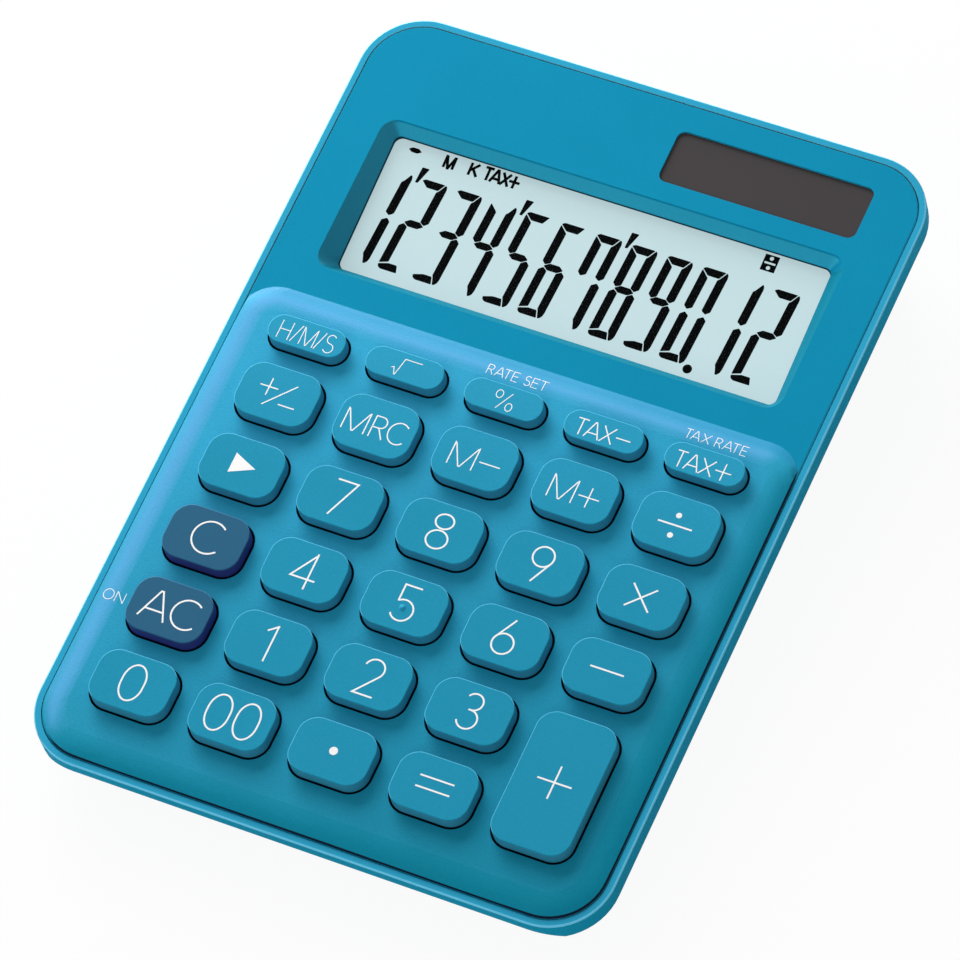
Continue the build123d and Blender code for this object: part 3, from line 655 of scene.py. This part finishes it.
def combine(piece, other, operation):
    """Unites a piece with another one, cuts it by the other or keeps what both share; the other goes."""
    cut = piece.modifiers.new("combine", "BOOLEAN")
    cut.operation = operation
    cut.solver = "EXACT"
    cut.object = other
    select_only(piece)
    bpy.ops.object.modifier_apply(modifier=cut.name)
    bpy.data.objects.remove(other)


def draw(name, width, strokes, areas=()):
    """A legend from strokes and filled areas, as one solid in mm."""
    marks = [stroke(name, points, width) for points in strokes]
    marks += [filled(name, points) for points in areas]
    for mark in marks[1:]:
        combine(marks[0], mark, "UNION")
    marks[0].name = name
    select_only(marks[0])
    bpy.ops.object.mode_set(mode="EDIT")
    bpy.ops.mesh.select_all(action="SELECT")
    bpy.ops.mesh.normals_make_consistent(inside=False)
    bpy.ops.object.mode_set(mode="OBJECT")
    return marks[0]


print("pen line", ink_rise, "mm proud")

# %% [markdown]
# ## The frame printed on the plate
# A dark blue frame is printed round the plate. Its rounded inner corners show through the opening of the
# bezel, and the cut-out is a hair smaller on its back and left sides, so a thin strip of the frame shows
# there as a painted shadow of the bezel's edges. It is a sheet as thin as the ink, with a rounded window cut
# out by a Boolean modifier.

# %% Printed frame
window_width, window_length, window_corner = 81.2, 26.2, 1.5
frame_border = 0.9
shadow_strip_width = 0.22


def round_window(width, length, radius):
    """Outline of a rectangle with round corners, about the middle."""
    x, y = width / 2 - radius, length / 2 - radius
    return (arc(x, y, radius, 0, 90) + arc(-x, y, radius, 90, 180) + arc(-x, -y, radius, 180, 270)
            + arc(x, -y, radius, 270, 360))


display_frame = filled("display_frame", round_window(window_width + 2 * frame_border,
                                                     window_length + 2 * frame_border, window_corner))
opening = filled("opening", round_window(window_width, window_length, window_corner))
# the cut-out shrinks on its back and left sides only: a painted shadow strip
opening.scale = (1 - shadow_strip_width / window_width, 1 - shadow_strip_width / window_length, cutter_height)
opening.location = (shadow_strip_width / 2, -shadow_strip_width / 2, 0)
combine(display_frame, opening, "DIFFERENCE")
set_down(display_frame, Vector((plate_middle.x, plate_middle.y, plate_high.z - ink_rise * MM)), display_tilt)
frame_ink_and_shadow = make_finish("frame_ink_and_shadow", srgb(14, 60, 74), 0.6, specular=0.1, grain_size=0.1)
display_frame.data.materials.append(frame_ink_and_shadow)
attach(display_frame, "case")
print("frame corner radius", window_corner, "mm")

# %% [markdown]
# ## An alphabet
# Only a few letters are needed. Each is written once in a box of one by one, and a word gives every letter
# its own left and right edge, the way a sign painter spaces letters. The outline is drawn in by half
# a pen width so that the inked letter fills the box exactly.

# %% Letters
LETTERS = {
    "A": [[(0, 0), (0.46, 1), (0.54, 1), (1, 0)], [(0.16, 0.31), (0.84, 0.31)]],
    "C": [arc(0.52, 0.5, 0.52, 46, 314, 0.5)],
    "E": [[(1, 1), (0, 1), (0, 0), (1, 0)], [(0, 0.52), (0.9, 0.52)]],
    "H": [[(0, 0), (0, 1)], [(1, 0), (1, 1)], [(0, 0.52), (1, 0.52)]],
    "K": [[(0, 0), (0, 1)], [(0.95, 1), (0, 0.36)], [(0.32, 0.56), (1, 0)]],
    "M": [[(0, 0), (0, 1)], [(1, 0), (1, 1)], [(0.03, 0.96), (0.47, 0.02), (0.53, 0.02), (0.97, 0.96)]],
    "N": [[(0, 0), (0, 1)], [(1, 0), (1, 1)], [(0.03, 0.97), (0.97, 0.03)]],
    "O": [arc(0.5, 0.5, 0.5, 0, 360)],
    "R": [[(0, 0), (0, 1)] + arc(0.5, 0.74, 0.42, 90, -90, 0.26) + [(0, 0.48)], [(0.5, 0.48), (1, 0)]],
    "S": [arc(0.5, 0.755, 0.44, 35, 250, 0.245) + arc(0.5, 0.255, 0.5, 75, -150, 0.255)],
    "T": [[(0, 1), (1, 1)], [(0.5, 0), (0.5, 1)]],
    "X": [[(0, 0), (1, 1)], [(0, 1), (1, 0)]],
    "/": [[(0, 0), (1, 1)]],
    "+": [[(0, 0.5), (1, 0.5)], [(0.5, 0), (0.5, 1)]],
    "-": [[(0, 0.5), (1, 0.5)]],
}


def letter(mark, left, right, low, high, width):
    """Strokes of one letter whose ink fills the given box."""
    left, low = left + width / 2, low + width / 2
    across, up = right - width / 2 - left, high - width / 2 - low
    return [[(left + across * x, low + up * y) for x, y in points] for points in LETTERS[mark]]


def word(marks, low, high, width):
    """Strokes of a word; each mark is a letter with its left and right edge."""
    return [points for mark, left, right in marks for points in letter(mark, left, right, low, high, width)]


print("letters", "".join(LETTERS))

# %% [markdown]
# ## Legends on the keys
# White ink is printed on each key top in a thin even line. Every legend is drawn about the middle of its
# key, in millimetres, then set down on that key's tilted top. It rides on the key's own body, so it sinks
# with the key when that is pressed.

# %% Key legends
thin_pen = 0.15
fine_pen = 0.21
middle_pen = 0.215
broad_pen = 0.3

zero = arc(0, 0.45, 2.0, 0, 180, 2.87) + arc(0, -0.45, 2.0, 180, 360, 2.87)
zero.append(zero[0])


def shifted(points, x):
    """A path moved sideways."""
    return [(px + x, py) for px, py in points]


LEGENDS = {
    "hours_minutes_seconds": (thin_pen, word([("H", -5.0, -2.88), ("/", -2.5, -1.15), ("M", -0.88, 1.73),
                                              ("/", 1.92, 3.2), ("S", 3.46, 5.3)], -1.92, 1.65, thin_pen)),
    "square_root": (thin_pen, [[(-2.2, -0.62), (-1.78, -0.42), (-1.3, -1.72), (-1.14, -1.72),
                                (-0.45, 1.46), (2.7, 1.46)]]),
    "percent": (thin_pen, [arc(-1.04, 0.77, 0.6, 0, 360, 0.74), arc(1.35, -1.15, 0.56, 0, 360, 0.74),
                           [(-0.77, -1.95), (1.15, 1.42)]]),
    "tax_minus": (fine_pen, word([("T", -5.0, -2.9), ("A", -3.08, -0.31), ("X", -0.27, 2.1)],
                                 -2.0, 1.23, fine_pen) + [[(2.42, -0.38), (5.0, -0.38)]]),
    "tax_plus": (fine_pen, word([("T", -5.2, -3.2), ("A", -3.27, -0.58), ("X", -0.58, 1.85)],
                                -2.04, 1.15, fine_pen) + [[(2.1, -0.42), (4.9, -0.42)],
                                                          [(3.5, -2.02), (3.5, 1.18)]]),
    "change_sign": (middle_pen, [[(-3.57, 0.88), (-0.27, 0.88)], [(-1.92, -0.77), (-1.92, 2.53)],
                                 [(-1.85, -2.58), (2.77, 2.42)], [(0.85, -1.73), (3.85, -1.73)]]),
    "memory_recall": (middle_pen, word([("M", -5.7, -1.42), ("R", -0.65, 2.0), ("C", 2.3, 6.04)],
                                       -2.23, 2.04, middle_pen)),
    "memory_minus": (middle_pen, word([("M", -4.35, 0.27)], -2.42, 2.1, middle_pen)
                     + [[(0.96, -0.35), (4.7, -0.35)]]),
    "memory_plus": (middle_pen, word([("M", -4.42, 0.12)], -2.42, 2.1, middle_pen)
                    + [[(0.8, -0.42), (4.5, -0.42)], [(2.65, -2.27), (2.65, 1.43)]]),
    "divide": (broad_pen, [[(-3.2, -0.27), (2.9, -0.27)]], [disc(-0.2, 1.58, 0.5), disc(-0.2, -2.2, 0.5)]),
    "shift_right": (broad_pen, [], [[(-1.8, -1.88), (2.5, 0.04), (-1.8, 1.92)]]),
    "7": (broad_pen, [[(-1.73, 3.19), (2.0, 3.19), (-0.88, -3.42)]]),
    "8": (broad_pen, [arc(0.15, 1.79, 1.6, 0, 360, 1.37), arc(0.15, -1.65, 1.87, 0, 360, 1.7)]),
    "9": (broad_pen, [arc(0.04, 1.35, 1.85, 0, 360), [(1.72, 0.58), (-0.38, -3.46)]]),
    "multiply": (broad_pen, [[(-2.25, -2.28), (2.05, 2.02)], [(-2.25, 2.02), (2.05, -2.28)]]),
    "clear": (broad_pen, [arc(0.58, 0.1, 3.0, 47.6, 315.5)]),
    "4": (broad_pen, [[(2.5, -1.46), (-1.95, -1.46), (1.15, 3.2)], [(1.15, 3.46), (1.15, -3.35)]]),
    "5": (broad_pen, [[(1.92, 3.35), (-1.15, 3.35), (-1.15, 0.35)] + arc(0.1, -1.25, 1.95, 122, -150)]),
    "6": (broad_pen, [arc(0.08, -1.23, 1.87, 0, 360), [(0.69, 3.46), (-1.66, -0.55)]]),
    "minus": (broad_pen, [[(-3.0, 0.08), (3.0, 0.08)]]),
    "all_clear": (broad_pen, word([("A", -4.96, 0.1)], -2.73, 2.8, broad_pen)
                  + [arc(3.23, 0.04, 2.72, 48.5, 313.4)]),
    "1": (broad_pen, [[(0.46, -3.35), (0.46, 3.4)], [(0.6, 3.4), (-1.08, 2.1)]]),
    "2": (broad_pen, [arc(0.38, 1.65, 1.75, 166, -41) + [(-1.5, -3.27), (2.1, -3.27)]]),
    "3": (broad_pen, [arc(0.15, 1.78, 1.5, 150, -90), [(-0.3, 0.28), (0.15, 0.28)],
                      arc(0.15, -1.46, 1.74, 90, -161)]),
    "plus": (broad_pen, [[(-3.0, 0.15), (3.1, 0.15)], [(0.04, -2.9), (0.04, 3.2)]]),
    "0": (broad_pen, [zero]),
    "double_zero": (broad_pen, [shifted(zero, -2.48), shifted(zero, 2.73)]),
    "decimal_point": (broad_pen, [], [disc(0.19, 0.12, 0.73)]),
    "equals": (broad_pen, [[(-2.9, 1.19), (3.2, 1.19)], [(-2.9, -0.85), (3.2, -0.85)]]),
}
legend_ink = make_finish("legend_ink", srgb(255, 255, 255), 0.5, specular=0.2, grain_size=0.08,
                         clouding=0.02)
key_top = tilted_box("key_8", deck_tilt)[1].z
key_middles = {key: sum(tilted_box("key_" + key, deck_tilt), Vector()) / 2 for key in LEGENDS}
for key, drawing in LEGENDS.items():
    legend = draw("legend_" + key, *drawing)
    set_down(legend, Vector((key_middles[key].x, key_middles[key].y, key_top)), deck_tilt)
    legend.data.materials.append(legend_ink)
    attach(legend, "key_" + key + "_cap")
print("legends", len(LEGENDS))

# %% [markdown]
# ## Small print on the cushion
# Three small words are printed beside the keys, on the rolled edge of the cushion, which curves. They are
# drawn flat like the legends and then projected on the moulding with Shrinkwrap, the upper side a hair above
# the surface and the lower side just under it. Short steps along each stroke let it follow the curve.

# %% Printed words
print_pen = 0.125
print_step = 0.4
print_start = 5.0
PRINTS = {
    "print_rate_set": ([("R", -5.92, -4.67), ("A", -4.42, -2.75), ("T", -2.95, -1.5), ("E", -1.33, -0.13),
                        ("S", 0.92, 2.08), ("E", 2.3, 3.58), ("T", 3.67, 5.17)], 14.25, 16.25),
    "print_tax_rate": ([("T", 30.33, 31.58), ("A", 31.5, 33.2), ("X", 33.37, 34.92), ("R", 35.8, 37.0),
                        ("A", 37.25, 39.0), ("T", 38.75, 40.17), ("E", 40.42, 41.58)], 14.13, 16.08),
    "print_on": ([("O", -49.5, -47.5), ("N", -47.17, -45.5)], -45.6, -43.56),
}
panel_low, panel_high = tilted_box("upper_case", deck_tilt)
deck_middle = Vector(((panel_low.x + panel_high.x) / 2, (panel_low.y + panel_high.y) / 2,
                      tilted_box("lower_case", deck_tilt)[1].z))


def short_steps(points):
    """The same path with extra points, none further apart than the print step."""
    path = [points[0]]
    for start, end in zip(points, points[1:]):
        count = math.ceil(math.dist(start, end) / print_step)
        path += [(start[0] + (end[0] - start[0]) * step / count,
                  start[1] + (end[1] - start[1]) * step / count) for step in range(1, count + 1)]
    return path


for name, (marks, low, high) in PRINTS.items():
    words = draw(name, print_pen, [short_steps(points) for points in word(marks, low, high, print_pen)])
    sides = {side: words.vertex_groups.new(name=side) for side in ("upper", "lower")}
    for vertex in words.data.vertices:
        sides["upper" if vertex.co.z > 0 else "lower"].add([vertex.index], 1.0, "REPLACE")
    select_only(words)
    words.scale = (MM, MM, MM)
    bpy.ops.object.transform_apply(location=False, rotation=False, scale=True)
    turn = Matrix.Rotation(deck_tilt, 4, "X")
    words.matrix_world = turn @ Matrix.Translation(deck_middle + Vector((0, 0, print_start * MM)))
    for side, lift in (("upper", ink_rise), ("lower", -ink_sink)):
        lay = words.modifiers.new("lay_" + side, "SHRINKWRAP")
        lay.wrap_method = "PROJECT"
        lay.use_project_z = True
        lay.use_negative_direction = True
        lay.use_positive_direction = False
        lay.target = frame["nodes"]["upper_case"]
        lay.vertex_group = side
        lay.offset = lift * MM
    for lay in list(words.modifiers):
        bpy.ops.object.modifier_apply(modifier=lay.name)
    words.vertex_groups.clear()
    bpy.ops.object.transform_apply(location=True, rotation=True, scale=True)
    words.data.materials.append(legend_ink)
    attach(words, "case")
print("printed words", len(PRINTS))

# %% [markdown]
# ## Digits on the display
# A liquid crystal display darkens seven bars for each digit. The bars lean a little to the right, have
# mitred ends and stand a hair apart. The seven shapes are written once for an upright cell; each digit
# copies the bars it needs, leans them and moves them to its cell. Bevelling the corners rounds them, and a
# thin extrusion gives the bars a body. The thousands marks and the minus sign join them.

# %% Display bars
cell_width, cell_height, cell_middle = 4.8, 17.8, 9.35
cell_pitch = 6.55
first_cell = (-41.05, -10.45)
lean = 0.0692
bar_rounding = 0.14
W, H, M = cell_width, cell_height, cell_middle
BARS = {
    "a": [(0, H - 0.35), (1.3, H - 1.4), (W - 1.4, H - 1.4), (W - 0.65, H), (0.5, H)],
    "b": [(W, M + 0.85), (W, H - 0.9), (W - 0.15, H - 0.3), (W - 0.47, H), (W - 1.22, H - 1.42),
          (W - 1.55, H - 1.75), (W - 1.55, M + 0.75), (W - 0.7, M + 0.25)],
    "c": [(W - 0.7, M - 0.25), (W - 1.55, M - 0.8), (W - 1.55, 1.7), (3.48, 1.3), (3.98, 0), (4.3, 0.08),
          (4.66, 0.5), (W, 1.2), (W, M - 0.85)],
    "d": [(0, 0.85), (0.2, 0.3), (0.75, 0), (3.78, 0), (3.28, 1.38), (1.7, 1.38)],
    "e": [(0.7, M - 0.25), (0, M - 0.85), (0, 1.05), (1.55, 1.62), (1.55, M - 0.8)],
    "f": [(0.7, M + 0.25), (1.55, M + 0.75), (1.55, H - 1.85), (0.05, H - 0.55), (0, H - 0.9),
          (0, M + 0.85)],
    "g": [(0.6, M), (1.5, M - 0.65), (W - 1.5, M - 0.65), (W - 0.6, M), (W - 1.5, M + 0.65),
          (1.5, M + 0.65)],
}
DIGITS = {"0": "abcdef", "1": "bc", "2": "abdeg", "3": "abcdg", "4": "bcfg", "5": "acdfg", "6": "acdefg",
          "7": "abcf", "8": "abcdefg", "9": "abcdfg"}
shown = "123456789012"
marked_cells = (1, 4, 7)
THOUSANDS_MARK = [(-41.0, 6.27), (-40.5, 6.27), (-39.45, 9.27), (-40.82, 9.27)]
MINUS_SIGN = [(-38.0, 11.77), (-37.3, 11.32), (-36.2, 11.32), (-35.5, 11.77), (-36.2, 12.22), (-37.3, 12.22)]

areas = []
for cell, digit in enumerate(shown):
    left = first_cell[0] + cell * cell_pitch
    for bar in DIGITS[digit]:
        areas.append([(left + x + lean * y, first_cell[1] + y) for x, y in BARS[bar]])
areas += [shifted(THOUSANDS_MARK, cell * cell_pitch) for cell in marked_cells]
areas.append(MINUS_SIGN)
corners = [corner for area in areas for corner in area]
faces = []
for area in areas:
    start = faces[-1][-1] + 1 if faces else 0
    faces.append(list(range(start, start + len(area))))
mesh = bpy.data.meshes.new("display_bars")
mesh.from_pydata([(x, y, 0) for x, y in corners], [], faces)
bars = bpy.data.objects.new("display_bars", mesh)
bpy.context.collection.objects.link(bars)
select_only(bars)
bpy.ops.object.mode_set(mode="EDIT")
bpy.ops.mesh.select_all(action="SELECT")
bpy.ops.mesh.bevel(offset=bar_rounding, segments=2, affect="VERTICES")
bpy.ops.mesh.select_all(action="SELECT")
bpy.ops.mesh.extrude_region_move(TRANSFORM_OT_translate={"value": (0, 0, ink_rise)})
bpy.ops.mesh.select_all(action="SELECT")
bpy.ops.mesh.normals_make_consistent(inside=False)
bpy.ops.object.mode_set(mode="OBJECT")
print("bars and marks", len(areas), "with", len(bars.data.polygons), "faces")

# %% [markdown]
# The point and the small signs above the digits come from the same pen as the legends, with a broader nib.
# The sign in the box is cut out of it, so the pale film shows through.

# %% Display signs
sign_pen = 0.5
sign_low, sign_high = 10.15, 13.0
box_left, box_right, box_low, box_high = 28.27, 30.86, 9.8, 12.8
box_middle = (box_left + box_right) / 2
box_pen = 0.36
box_bar, box_bar_end = 11.3, 0.3
box_dots = (12.2, 10.42)
point_mark = disc(23.68, -10.95, 0.82)
signs = draw("display_signs", sign_pen,
             word([("M", -31.2, -29.05), ("K", -26.5, -24.5), ("T", -23.95, -21.9), ("A", -22.5, -20.2),
                   ("X", -20.6, -18.65), ("+", -19.2, -16.75)], sign_low, sign_high, sign_pen),
             [point_mark,
              [(box_left, box_low), (box_right, box_low), (box_right, box_high), (box_left, box_high)]])
window = draw("box_window", box_pen,
              [[(box_left + box_bar_end, box_bar), (box_right - box_bar_end, box_bar)]],
              [disc(box_middle, dot, box_pen) for dot in box_dots])
window.scale.z = cutter_height
combine(signs, window, "DIFFERENCE")

crystal_black = make_finish("crystal_black", srgb(5, 6, 7), 0.5, specular=0.01, clouding=0.1)
film_low, film_high = tilted_box("display_polariser", display_tilt)
film_top = Vector(((film_low.x + film_high.x) / 2, (film_low.y + film_high.y) / 2, film_high.z))
for piece in (bars, signs):
    set_down(piece, film_top, display_tilt)
    piece.data.materials.append(crystal_black)
    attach(piece, "case")
print("display middle", [round(c / MM, 2) for c in film_top])

# %% [markdown]
# ## The domes under the keys
# A silicone sheet under the keys has a hollow dome for each of them. A pressed key flattens its dome, but
# the imported sheet is one stiff part, so the key would cut through it. Its shape is right, so the sheet is
# copied and cut a hair above its upper side: what lies under the cut stays a sheet, and the rest falls apart
# into loose domes. Each dome is named after the key above it.

# %% Sheet and domes
dome_height = 2.07
cut_margin = Vector((1, 1, 1)) * MM
sheet_low, sheet_high = tilted_box("dome_sheet", deck_tilt)
cut_height = sheet_high.z - dome_height * MM
below_low = sheet_low - cut_margin
below_high = sheet_high + cut_margin
below_high.z = cut_height


def cut_sheet(name, operation):
    """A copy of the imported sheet, of which only one side of the cut is kept."""
    copy = bpy.data.objects.new(name, frame["nodes"]["dome_sheet"].data.copy())
    bpy.context.collection.objects.link(copy)
    below = block("below_cut", (below_high - below_low) / MM)
    set_down(below, (below_low + below_high) / 2, deck_tilt)
    combine(copy, below, operation)
    return copy


sheet = cut_sheet("silicone_sheet", "INTERSECT")
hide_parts("dome_sheet")
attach(sheet, "case")
select_only(cut_sheet("domes", "DIFFERENCE"))
bpy.ops.object.mode_set(mode="EDIT")
bpy.ops.mesh.select_all(action="SELECT")
bpy.ops.mesh.separate(type="LOOSE")
bpy.ops.object.mode_set(mode="OBJECT")
domes = list(bpy.context.selected_objects)
turn = Matrix.Rotation(deck_tilt, 3, "X")
for dome in domes:
    middle = turn.inverted() @ sum((vertex.co for vertex in dome.data.vertices), Vector())
    middle /= len(dome.data.vertices)
    key = min(LEGENDS, key=lambda name: (key_middles[name] - middle).to_2d().length)
    dome.name = "dome_" + key
    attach(dome, "case")
    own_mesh(dome)
print("domes", len(domes))
